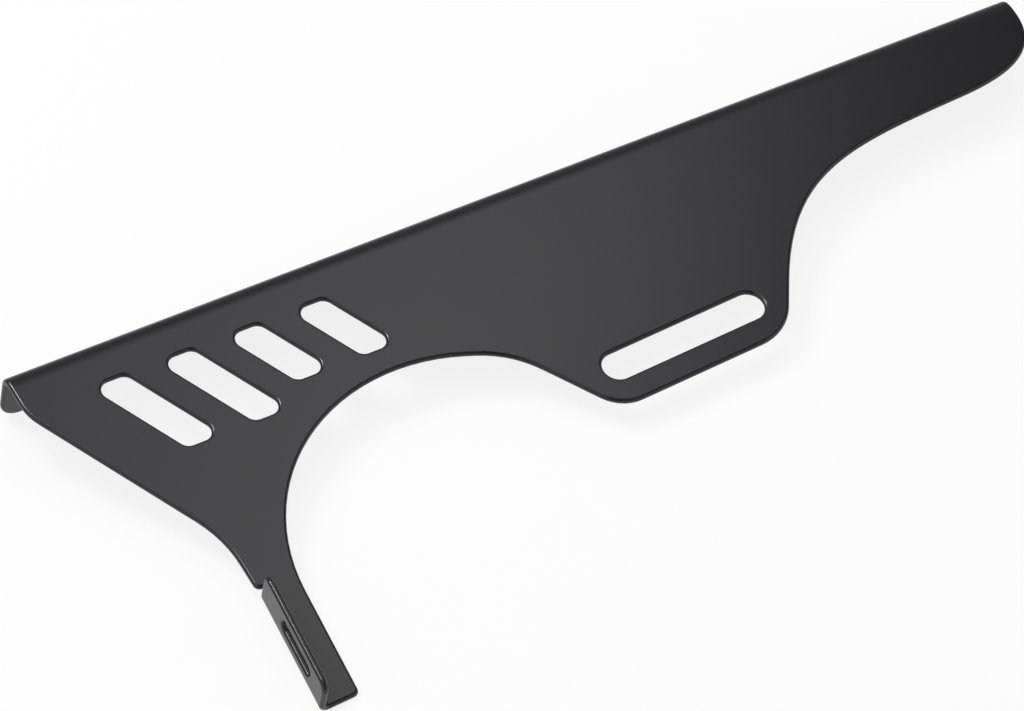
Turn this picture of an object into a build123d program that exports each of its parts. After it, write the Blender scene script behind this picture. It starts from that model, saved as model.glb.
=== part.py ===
"""Motorcycle chain guard: one folded and powder-coated sheet.

The sheet is drawn in its own frame first: X runs along the top fold from the front end to the
tail, Y is 0 at the flange's outer face and negative below it, and Z is 0 at the web's front face.
It is then laid down as it comes to rest, on the flange's free edge and the end of the leg.
"""
import os
from math import atan2, cos, radians, sin, tan

from build123d import *

# Sheet, with the radius of its rounded rims as a share of its thickness
sheet = 2.5
rim_round_share = 0.47

# Top fold and its flange, which turns to the back: the web eases into the bend on a wider arc
fold_length = 425.7
fold_bend_inside = 2.5
fold_ease_inside = 13.5
fold_ease_angle = 12.0
flange_depth = 25.2
flange_corner = 8.0

# Angle to the fold of the slot, the lobe's lower edge, the tail's lower edge and the leg's end
base_angle = 2.9

# Front end and sloping front edge
nose_depth = 19.0
nose_round = 20.0
front_angle = 62.5

# Leg, measured at the outer face of its tab, which stands proud of the web's edge above it
leg_setback = 38.3
tab_proud = 0.4
leg_round = 48.0
leg_lean = 4.1
leg_width = 16.15
leg_drop = 170.0
leg_end_round = 2.4

# Tab, which turns to the front along the leg's front edge
tab_length = 50.0
tab_height = 16.2
tab_bend_inside = 1.5
tab_corner = 4.0
tab_slot_width = 5.0
tab_slot_length = 22.6
tab_slot_from_end = 22.1
tab_slot_from_back = 9.4

# Relief cut between the tab and the web above it
relief_width = 3.2
relief_past_bend = 1.5
relief_round = 1.2
relief_lip_round = 2.5

# Mounting slot in the rear lobe
slot_from_front = 231.4
slot_depth = 85.8
slot_spread = 57.2
slot_width = 11.9

# Lobe around the slot: distances from the slot's axis and its end centres to the edges
lobe_margin = 16.15
lobe_front_margin = 15.6
lobe_rear_margin = 14.9
lobe_rear_round = 22.0
lobe_front_angle = 56.4
lobe_rear_angle = 58.1

# Arch between the leg and the lobe: its crest line, and the shares of that line its two arcs take
crest_angle = 21.0
crest_from_front = 155.2
crest_depth = 60.5
front_arc_share = 0.8595
rear_arc_share = 0.11

# Tail: depth at its end, and shares of the straight edges that its two eased corners take
tail_depth = 32.05
rise_front_share = 0.68
rise_rear_share = 0.655
tail_lower_share = 0.34
tail_end_share = 0.96

# Pull of each eased curve from its end towards its corner
rise_front_pull = 1.0
rise_rear_pull = 0.65
tail_lower_pull = 0.655
tail_end_pull = 0.74

# Slanted vents, parallel to the front edge: two long ones, then two short ones
long_vent_height = 36.7
short_vent_height = 27.6
vent_pitch = 26.85
vent_from_front = 33.0
vent_depth = 17.6
vent_width = 12.45
vent_round = 4.1

fold_bend_outside = fold_bend_inside + sheet
fold_ease_outside = fold_ease_inside + sheet
tab_bend_outside = tab_bend_inside + sheet
rim_round = rim_round_share * sheet
tab_free_edge = tab_height - sheet
vent_heights = [long_vent_height, long_vent_height, short_vent_height, short_vent_height]


def heading(angle):
    """Unit vector in the web's plane at an angle to the fold."""
    return Vector(cos(radians(angle)), sin(radians(angle)))


def edge_line(point, angle):
    """Straight edge line through a point, at an angle to the fold."""
    return Axis(point, heading(angle))


def between(start, end, share):
    """Point at a share of the way from one point to another."""
    return start + (end - start) * share


def fillet_radius(run, turn):
    """Radius whose fillet takes up a run of straight edge at a corner of the given turn."""
    return run / tan(radians(turn / 2))


# Where the flat flange and the flat web begin, past the two arcs of the fold
ease_turn = heading(fold_ease_angle)
flange_start = fold_bend_outside * ease_turn.X + fold_ease_outside * (1 - ease_turn.X)
web_start = fold_ease_outside * ease_turn.Y + fold_bend_outside * (1 - ease_turn.Y)

# Directions of the leg: along it to its end, and across it to the rear
leg_down = heading(-90 - leg_lean)
leg_across = heading(-leg_lean)

# Tab and leg points, from the outer face of the tab
leg_end_point = Vector(leg_setback - tab_length * sin(radians(leg_lean)), -leg_drop)
tab_top_point = leg_end_point - leg_down * tab_length
bend_start = leg_end_point + leg_across * tab_bend_outside

# Straight edge lines of the web
front_line = edge_line((0, -nose_depth), -front_angle)
leg_front_line = edge_line((leg_setback + tab_proud, 0), -90)
bend_line = edge_line(bend_start, 90 - leg_lean)
leg_rear_line = edge_line(leg_end_point + leg_across * leg_width, 90 - leg_lean)
leg_end_line = edge_line(leg_end_point, base_angle)
crest_line = edge_line((crest_from_front, -crest_depth), -crest_angle)
tail_line = edge_line((fold_length, -tail_depth), base_angle)
relief_lower_line = edge_line(tab_top_point, -leg_lean)
relief_upper_line = edge_line(tab_top_point - leg_down * relief_width, -leg_lean)
relief_end_line = edge_line(bend_start + leg_across * relief_past_bend, 90 - leg_lean)

# Lobe lines, set off from the mounting slot
slot_centre = Vector(slot_from_front, -slot_depth)
slot_front_end = slot_centre - heading(base_angle) * (slot_spread / 2)
slot_rear_end = slot_centre + heading(base_angle) * (slot_spread / 2)
lobe_front_side = slot_front_end - heading(90 - lobe_front_angle) * lobe_front_margin
lobe_rear_side = slot_rear_end + heading(lobe_rear_angle - 90) * lobe_rear_margin
lobe_front_line = edge_line(lobe_front_side, -lobe_front_angle)
lobe_lower_line = edge_line(slot_centre - heading(90 + base_angle) * lobe_margin, base_angle)
lobe_rear_line = edge_line(lobe_rear_side, lobe_rear_angle)

# Corners of the web's outline
nose = Vector(0, -nose_depth)
leg_front = front_line.intersect(leg_front_line)
relief_lip = leg_front_line.intersect(relief_upper_line)
relief_top = relief_end_line.intersect(relief_upper_line)
relief_bottom = relief_end_line.intersect(relief_lower_line)
tab_top = bend_line.intersect(relief_lower_line)
leg_end_front = bend_line.intersect(leg_end_line)
leg_end_rear = leg_rear_line.intersect(leg_end_line)
arch_front = leg_rear_line.intersect(crest_line)
arch_rear = crest_line.intersect(lobe_front_line)
lobe_front = lobe_front_line.intersect(lobe_lower_line)
lobe_rear = lobe_lower_line.intersect(lobe_rear_line)
rise = lobe_rear_line.intersect(tail_line)
tail_lower = Vector(fold_length, -tail_depth)
fold_rear = Vector(fold_length, -web_start)
fold_front = Vector(0, -web_start)

# The arch's two arcs share its crest line, so they follow the leg and the lobe
crest_run = (arch_rear - arch_front).length
arch_front_round = fillet_radius(crest_run * front_arc_share, 90 - leg_lean + crest_angle)
arch_rear_round = fillet_radius(crest_run * rear_arc_share, lobe_front_angle - crest_angle)

# The round into the leg is limited by the straight edge above the relief
leg_front_run = (relief_lip - leg_front).length - relief_lip_round
leg_front_round = min(leg_round, fillet_radius(leg_front_run, 90 - front_angle))

# Ends of the eased corners
rise_front_end = between(rise, lobe_rear, rise_front_share)
rise_rear_end = between(rise, tail_lower, rise_rear_share)
tail_lower_end = between(tail_lower, rise, tail_lower_share)
tail_upper_end = between(tail_lower, fold_rear, tail_end_share)

tab_face = Plane(origin=leg_end_point, x_dir=leg_down, z_dir=-leg_across)
tab_section = Plane(origin=tab_top_point, x_dir=leg_across, z_dir=leg_down)
leg_end_plane = Plane(origin=leg_end_point, x_dir=heading(base_angle), z_dir=heading(base_angle - 90))

with BuildPart() as folded_sheet:
    # Tab and its bend along the leg, cut off in line with the leg's end
    with BuildSketch(tab_section):
        with BuildLine():
            Polyline(
                (0, tab_bend_inside),
                (0, tab_free_edge),
                (sheet, tab_free_edge),
                (sheet, tab_bend_inside),
            )
            RadiusArc((sheet, tab_bend_inside), (tab_bend_outside, 0), -tab_bend_inside)
            Line((tab_bend_outside, 0), (tab_bend_outside, -sheet))
            RadiusArc((tab_bend_outside, -sheet), (0, tab_bend_inside), tab_bend_outside)
        make_face()
    extrude(amount=tab_length + leg_width)
    split(bisect_by=leg_end_plane, keep=Keep.BOTTOM)

    # Flange and its bend along the top fold, with the wider arc that eases the web into it
    with BuildSketch(Plane.YZ):
        with BuildLine():
            flange = Polyline(
                (0, -flange_start),
                (0, -flange_depth),
                (-sheet, -flange_depth),
                (-sheet, -flange_start),
            )
            outer_bend = JernArc(flange @ 0, (0, 1), fold_bend_outside, 90 - fold_ease_angle)
            outer_ease = JernArc(outer_bend @ 1, outer_bend % 1, fold_ease_outside, fold_ease_angle)
            inner_bend = JernArc(flange @ 1, (0, 1), fold_bend_inside, 90 - fold_ease_angle)
            inner_ease = JernArc(inner_bend @ 1, inner_bend % 1, fold_ease_inside, fold_ease_angle)
            Line(outer_ease @ 1, inner_ease @ 1)
        make_face()
    extrude(amount=fold_length)

    # Web with its arch, lobe, leg and relief cut
    with BuildSketch(Plane.XY):
        with BuildLine():
            FilletPolyline(
                fold_front,
                nose,
                leg_front,
                relief_lip,
                relief_top,
                relief_bottom,
                tab_top,
                leg_end_front,
                leg_end_rear,
                arch_front,
                arch_rear,
                lobe_front,
                lobe_rear,
                rise_front_end,
                radius=[
                    nose_round,
                    leg_front_round,
                    relief_lip_round,
                    relief_round,
                    relief_round,
                    0,
                    0,
                    leg_end_round,
                    arch_front_round,
                    arch_rear_round,
                    lobe_front_margin,
                    lobe_rear_round,
                ],
            )
            Bezier(
                rise_front_end,
                between(rise_front_end, rise, rise_front_pull),
                between(rise_rear_end, rise, rise_rear_pull),
                rise_rear_end,
            )
            Line(rise_rear_end, tail_lower_end)
            Bezier(
                tail_lower_end,
                between(tail_lower_end, tail_lower, tail_lower_pull),
                between(tail_upper_end, tail_lower, tail_end_pull),
                tail_upper_end,
            )
            Polyline(tail_upper_end, fold_rear, fold_front)
        make_face()
    extrude(amount=-sheet)

    # Mounting slot in the lobe
    with BuildSketch(Plane.XY):
        with Locations(slot_centre):
            SlotCenterToCenter(slot_spread, slot_width, rotation=base_angle)
    extrude(amount=-sheet, mode=Mode.SUBTRACT)

    # Slanted vents
    half_run = Vector(vent_width / sin(radians(front_angle)) / 2, 0)
    for number, height in enumerate(vent_heights):
        vent_top = Vector(vent_from_front + number * vent_pitch, -vent_depth)
        vent_bottom = vent_top + heading(-front_angle) * (height / sin(radians(front_angle)))
        with BuildSketch(Plane.XY):
            with BuildLine():
                FilletPolyline(
                    vent_top - half_run,
                    vent_top + half_run,
                    vent_bottom + half_run,
                    vent_bottom - half_run,
                    radius=vent_round,
                    close=True,
                )
            make_face()
        extrude(amount=-sheet, mode=Mode.SUBTRACT)

    # Slot in the tab
    with BuildSketch(tab_face):
        with Locations((-tab_slot_from_end, tab_slot_from_back - sheet)):
            SlotOverall(tab_slot_length, tab_slot_width)
    extrude(amount=-sheet, mode=Mode.SUBTRACT)

    # Rounded free corners of the flange and the tab
    fillet(folded_sheet.edges().group_by(Axis.Z)[0].sort_by(SortBy.LENGTH)[:2], flange_corner)
    fillet(folded_sheet.edges().group_by(Axis.Z)[-1].sort_by(SortBy.LENGTH)[:2], tab_corner)

    # Rounded rims: a rim edge borders one face of the sheet, an edge at a bend borders two
    sheet_planes = [
        Plane.XY,
        Plane.XY.offset(-sheet),
        Plane.XZ,
        Plane.XZ.offset(sheet),
        tab_face,
        tab_face.offset(-sheet),
    ]
    bend_axes = [Axis.X, Axis(tab_top_point, leg_down)]
    flat_faces = folded_sheet.faces().filter_by(GeomType.PLANE)
    round_faces = folded_sheet.faces().filter_by(GeomType.CYLINDER)
    sheet_faces = flat_faces.filter_by(lambda face: any(face.is_coplanar(plane) for plane in sheet_planes))
    sheet_faces += round_faces.filter_by(
        lambda face: any(face.axis_of_rotation.is_parallel(axis) for axis in bend_axes)
    )
    sheet_edges = sheet_faces.edges()
    fillet(sheet_edges.filter_by(lambda edge: sheet_edges.count(edge) == 1), rim_round)

# Rest: the flange's free edge and the leg's end touch the floor
rest_tilt = atan2(flange_depth - sheet, leg_drop - sheet)
rest_up = Vector(0, -sin(rest_tilt), cos(rest_tilt))
turned_box = (Plane((0, 0, 0), (1, 0, 0), rest_up).location * folded_sheet.part).bounding_box()
rest_origin = Vector(-turned_box.center().X, -turned_box.center().Y, -turned_box.min.Z)

with BuildPart(Plane(rest_origin, (1, 0, 0), rest_up)) as guard_plate:
    add(folded_sheet.part)

os.makedirs("parts", exist_ok=True)
guard_plate.part.label = "guard_plate"
export_step(guard_plate.part, "parts/guard_plate.step")
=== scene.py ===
"""Motorcycle chain guard: a folded sheet in satin black powder coat, lying in a plain studio."""
import logging
import math
from dataclasses import dataclass
from enum import Enum

import bmesh
import bpy
from mathutils import Matrix, Vector

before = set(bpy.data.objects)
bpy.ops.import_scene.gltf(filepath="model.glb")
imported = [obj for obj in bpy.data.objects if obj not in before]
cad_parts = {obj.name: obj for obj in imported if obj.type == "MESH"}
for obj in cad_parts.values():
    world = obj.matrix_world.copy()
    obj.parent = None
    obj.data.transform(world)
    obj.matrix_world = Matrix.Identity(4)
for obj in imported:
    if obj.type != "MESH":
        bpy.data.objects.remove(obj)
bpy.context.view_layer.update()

log = logging.getLogger("chain_guard")

Colour = tuple[float, float, float, float]
Point = tuple[float, float, float]

MILLIMETRE = 0.001
RIGHT_ANGLE = 90.0
MATRIX_SIZE = 4
IMAGE_WIDTH = 1024


class SeenBy(Enum):
    """Rays that see the floor's white, by their Light Path socket."""

    CAMERA = "Is Camera Ray"
    GLOSSY = "Is Glossy Ray"
    TRANSMISSION = "Is Transmission Ray"


class NodeTree:
    """Short way to add and link the nodes of one material."""

    def __init__(self, tree: bpy.types.NodeTree) -> None:
        """Empties the tree.

        Args:
            tree: the material's node tree.
        """
        self.tree = tree
        self.tree.nodes.clear()

    def add(self, kind: str, **sockets: object) -> bpy.types.Node:
        """Adds a node and sets its inputs.

        Args:
            kind: the node's type name.
            sockets: values of inputs, with spaces in their names written as underscores.

        Returns:
            The new node.
        """
        node = self.tree.nodes.new(kind)
        for name, value in sockets.items():
            node.inputs[name.replace("_", " ")].default_value = value
        return node

    def link(self, source: bpy.types.NodeSocket, target: bpy.types.NodeSocket) -> None:
        """Links one socket to another."""
        self.tree.links.new(source, target)


@dataclass(frozen=True)
class PowderCoat:
    """Satin black powder coat: near black, faintly mottled, with a fine orange-peel skin."""

    name: str = "satin_black_powder_coat"
    thin_colour: Colour = (0.0083, 0.0079, 0.0111, 1.0)
    thick_colour: Colour = (0.0111, 0.0106, 0.0141, 1.0)
    smooth_roughness: float = 0.26
    grainy_roughness: float = 0.31
    mottle_size: float = 30.0 * MILLIMETRE
    mottle_detail: float = 3.0
    peel_size: float = 1.6 * MILLIMETRE
    peel_depth: float = 0.004 * MILLIMETRE
    grain_size: float = 0.35 * MILLIMETRE
    grain_depth: float = 0.002 * MILLIMETRE
    skin_detail: float = 2.0

    def material(self) -> bpy.types.Material:
        """Builds the coat's material.

        Returns:
            The new material.
        """
        material = bpy.data.materials.new(self.name)
        material.use_nodes = True
        nodes = NodeTree(material.node_tree)
        place = nodes.add("ShaderNodeTexCoord")
        mottle = self._noise(nodes, place, self.mottle_size, self.mottle_detail)
        peel = self._noise(nodes, place, self.peel_size, self.skin_detail)
        grain = self._noise(nodes, place, self.grain_size, self.skin_detail)

        colour = nodes.add("ShaderNodeMixRGB", Color1=self.thin_colour, Color2=self.thick_colour)
        nodes.link(mottle.outputs["Fac"], colour.inputs["Fac"])
        roughness = nodes.add(
            "ShaderNodeMapRange",
            To_Min=self.smooth_roughness,
            To_Max=self.grainy_roughness,
        )
        nodes.link(grain.outputs["Fac"], roughness.inputs["Value"])

        waves = nodes.add("ShaderNodeBump", Distance=self.peel_depth)
        nodes.link(peel.outputs["Fac"], waves.inputs["Height"])
        skin = nodes.add("ShaderNodeBump", Distance=self.grain_depth)
        nodes.link(grain.outputs["Fac"], skin.inputs["Height"])
        nodes.link(waves.outputs["Normal"], skin.inputs["Normal"])

        coat = nodes.add("ShaderNodeBsdfPrincipled")
        nodes.link(colour.outputs["Color"], coat.inputs["Base Color"])
        nodes.link(roughness.outputs["Result"], coat.inputs["Roughness"])
        nodes.link(skin.outputs["Normal"], coat.inputs["Normal"])
        nodes.link(coat.outputs["BSDF"], nodes.add("ShaderNodeOutputMaterial").inputs["Surface"])
        return material

    @staticmethod
    def _noise(nodes: NodeTree, place: bpy.types.Node, size: float, detail: float) -> bpy.types.Node:
        """Adds a noise on the object's own coordinates.

        Args:
            nodes: the material's nodes.
            place: its Texture Coordinate node.
            size: length of one wave, in metres.
            detail: number of finer octaves.

        Returns:
            The noise node.
        """
        noise = nodes.add("ShaderNodeTexNoise", Scale=1.0 / size, Detail=detail)
        nodes.link(place.outputs["Object"], noise.inputs["Vector"])
        return noise


@dataclass(frozen=True)
class FloorPaint:
    """Matt white of the floor, with a lift that cameras and reflections see."""

    name: str = "white_floor"
    colour: Colour = (0.16, 0.16, 0.16, 1.0)
    lift: float = 0.85

    def material(self) -> bpy.types.Material:
        """Builds the floor's material.

        Returns:
            The new material.
        """
        material = bpy.data.materials.new(self.name)
        material.use_nodes = True
        nodes = NodeTree(material.node_tree)
        path = nodes.add("ShaderNodeLightPath")
        seen = path.outputs[SeenBy.CAMERA.value]
        for ray in (SeenBy.GLOSSY, SeenBy.TRANSMISSION):
            either = nodes.add("ShaderNodeMath")
            either.operation = "MAXIMUM"
            nodes.link(seen, either.inputs[0])
            nodes.link(path.outputs[ray.value], either.inputs[1])
            seen = either.outputs["Value"]

        strength = nodes.add("ShaderNodeMath")
        strength.operation = "MULTIPLY"
        strength.inputs[1].default_value = self.lift
        nodes.link(seen, strength.inputs[0])
        glow = nodes.add("ShaderNodeEmission")
        nodes.link(strength.outputs["Value"], glow.inputs["Strength"])

        paint = nodes.add("ShaderNodeBsdfDiffuse", Color=self.colour)
        both = nodes.add("ShaderNodeAddShader")
        nodes.link(paint.outputs["BSDF"], both.inputs[0])
        nodes.link(glow.outputs["Emission"], both.inputs[1])
        nodes.link(both.outputs["Shader"], nodes.add("ShaderNodeOutputMaterial").inputs["Surface"])
        return material


@dataclass(frozen=True)
class GuardPlate:
    """The folded sheet itself, shown as modelled."""

    node: str = "guard_plate"
    slot: str = "powder_coat"
    finish: PowderCoat = PowderCoat()

    def dress(self) -> bpy.types.Object:
        """Gives the sheet its coat.

        Returns:
            The sheet's object.
        """
        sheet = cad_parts[self.node]
        sheet.data.materials.clear()
        sheet.data.materials.append(self.finish.material())
        return sheet


@dataclass(frozen=True)
class Floor:
    """Plain white floor that the guard lies on."""

    name: str = "floor"
    half_width: float = 5.0
    paint: FloorPaint = FloorPaint()

    def build(self) -> bpy.types.Object:
        """Builds the floor.

        Returns:
            The floor's object.
        """
        shape = bmesh.new()
        bmesh.ops.create_grid(shape, x_segments=1, y_segments=1, size=self.half_width)
        mesh = bpy.data.meshes.new(self.name)
        shape.to_mesh(mesh)
        shape.free()
        floor = bpy.data.objects.new(self.name, mesh)
        bpy.context.scene.collection.objects.link(floor)
        mesh.materials.append(self.paint.material())
        return floor


@dataclass(frozen=True)
class Softbox:
    """Flat rectangular lamp that faces a point.

    Sizes and places are in metres and the turn about the lamp's own axis is in degrees. A lamp that
    doesn't light matt surfaces is seen in reflections only.
    """

    name: str
    place: Point
    width: float
    height: float
    brightness: float
    aim: Point = (0.0, 0.0, 0.0)
    turn: float = 0.0
    lights_matt: bool = True

    def build(self) -> bpy.types.Object:
        """Builds the lamp.

        Returns:
            The lamp's object.
        """
        lamp = bpy.data.lights.new(self.name, "AREA")
        lamp.shape = "RECTANGLE"
        lamp.size = self.width
        lamp.size_y = self.height
        lamp.energy = self.brightness * math.pi * self.width * self.height
        softbox = bpy.data.objects.new(self.name, lamp)
        softbox.visible_camera = False
        softbox.visible_diffuse = self.lights_matt
        bpy.context.scene.collection.objects.link(softbox)
        towards = Vector(self.aim) - Vector(self.place)
        softbox.matrix_world = (
            Matrix.Translation(self.place)
            @ towards.to_track_quat("-Z", "Y").to_matrix().to_4x4()
            @ Matrix.Rotation(math.radians(self.turn), MATRIX_SIZE, "Z")
        )
        return softbox


@dataclass(frozen=True)
class Studio:
    """Floor, lamps and the dim room around them."""

    floor: Floor = Floor()
    room_name: str = "dim_room"
    room_colour: Colour = (0.10, 0.10, 0.10, 1.0)
    lamps: tuple[Softbox, ...] = (
        Softbox(
            name="overhead_softbox",
            place=(0.283, 0.424, 1.077),
            aim=(0.283, 0.564, 0.0),
            width=0.476,
            height=0.75,
            brightness=1.17,
            turn=-35.0,
        ),
        Softbox(
            name="overhead_strip",
            place=(0.385, 0.402, 1.078),
            aim=(0.385, 0.542, 0.0),
            width=0.22,
            height=0.75,
            brightness=0.95,
            turn=-44.0,
        ),
        Softbox(
            name="left_softbox",
            place=(-0.60, 0.74, 1.16),
            width=0.50,
            height=0.50,
            brightness=12.0,
        ),
        Softbox(
            name="left_glint",
            place=(-0.60, 0.68, 1.15),
            width=0.36,
            height=0.36,
            brightness=20.0,
            lights_matt=False,
        ),
        Softbox(
            name="ceiling_panel",
            place=(-0.45, 0.0, 1.30),
            width=0.80,
            height=0.80,
            brightness=1.2,
        ),
        Softbox(
            name="back_panel",
            place=(0.58, 1.28, 0.55),
            width=2.00,
            height=1.10,
            brightness=0.32,
        ),
        Softbox(
            name="front_panel",
            place=(0.75, -1.20, 0.68),
            width=2.60,
            height=1.40,
            brightness=0.52,
        ),
        Softbox(
            name="left_panel",
            place=(-1.45, -0.30, 0.65),
            width=1.80,
            height=1.30,
            brightness=0.85,
        ),
        Softbox(
            name="right_panel",
            place=(1.45, -0.55, 0.55),
            width=1.40,
            height=1.10,
            brightness=0.50,
        ),
    )

    def build(self) -> None:
        """Builds the floor, the lamps and the room's dim light."""
        log.info("built %s", self.floor.build().name)
        for lamp in self.lamps:
            log.info("built %s", lamp.build().name)
        scene = bpy.context.scene
        scene.world = bpy.data.worlds.new(self.room_name)
        scene.world.use_nodes = True
        scene.world.node_tree.nodes["Background"].inputs["Color"].default_value = self.room_colour
        scene.view_settings.view_transform = "Standard"


@dataclass(frozen=True)
class PhotoCamera:
    """Long lens that looks down on the guard, turned and tilted as in the photograph.

    Distances are in metres, angles in degrees and the sensor's width in millimetres.
    """

    name: str = "photo_camera"
    aim: Point = (-0.03484, 0.02805, 0.0)
    distance: float = 2.16495
    azimuth: float = -34.8680
    elevation: float = 47.4257
    roll: float = 5.7899
    focal_pixels: float = 6000.0
    sensor_width: float = 36.0

    def build(self) -> bpy.types.Object:
        """Builds the camera and makes it the scene's own.

        Returns:
            The camera's object.
        """
        lens = bpy.data.cameras.new(self.name)
        lens.sensor_fit = "HORIZONTAL"
        lens.sensor_width = self.sensor_width
        lens.lens = self.focal_pixels / IMAGE_WIDTH * self.sensor_width
        camera = bpy.data.objects.new(self.name, lens)
        bpy.context.scene.collection.objects.link(camera)
        camera.matrix_world = (
            Matrix.Translation(self.aim)
            @ Matrix.Rotation(math.radians(self.azimuth), MATRIX_SIZE, "Z")
            @ Matrix.Rotation(math.radians(RIGHT_ANGLE - self.elevation), MATRIX_SIZE, "X")
            @ Matrix.Rotation(math.radians(self.roll), MATRIX_SIZE, "Z")
            @ Matrix.Translation((0.0, 0.0, self.distance))
        )
        bpy.context.scene.camera = camera
        return camera


def main() -> None:
    """Dresses the guard and builds the studio around it."""
    logging.basicConfig(level=logging.INFO, format="%(name)s: %(message)s")
    log.info("dressed %s", GuardPlate().dress().name)
    Studio().build()
    log.info("set up %s", PhotoCamera().build().name)


if __name__ == "__main__":
    main()
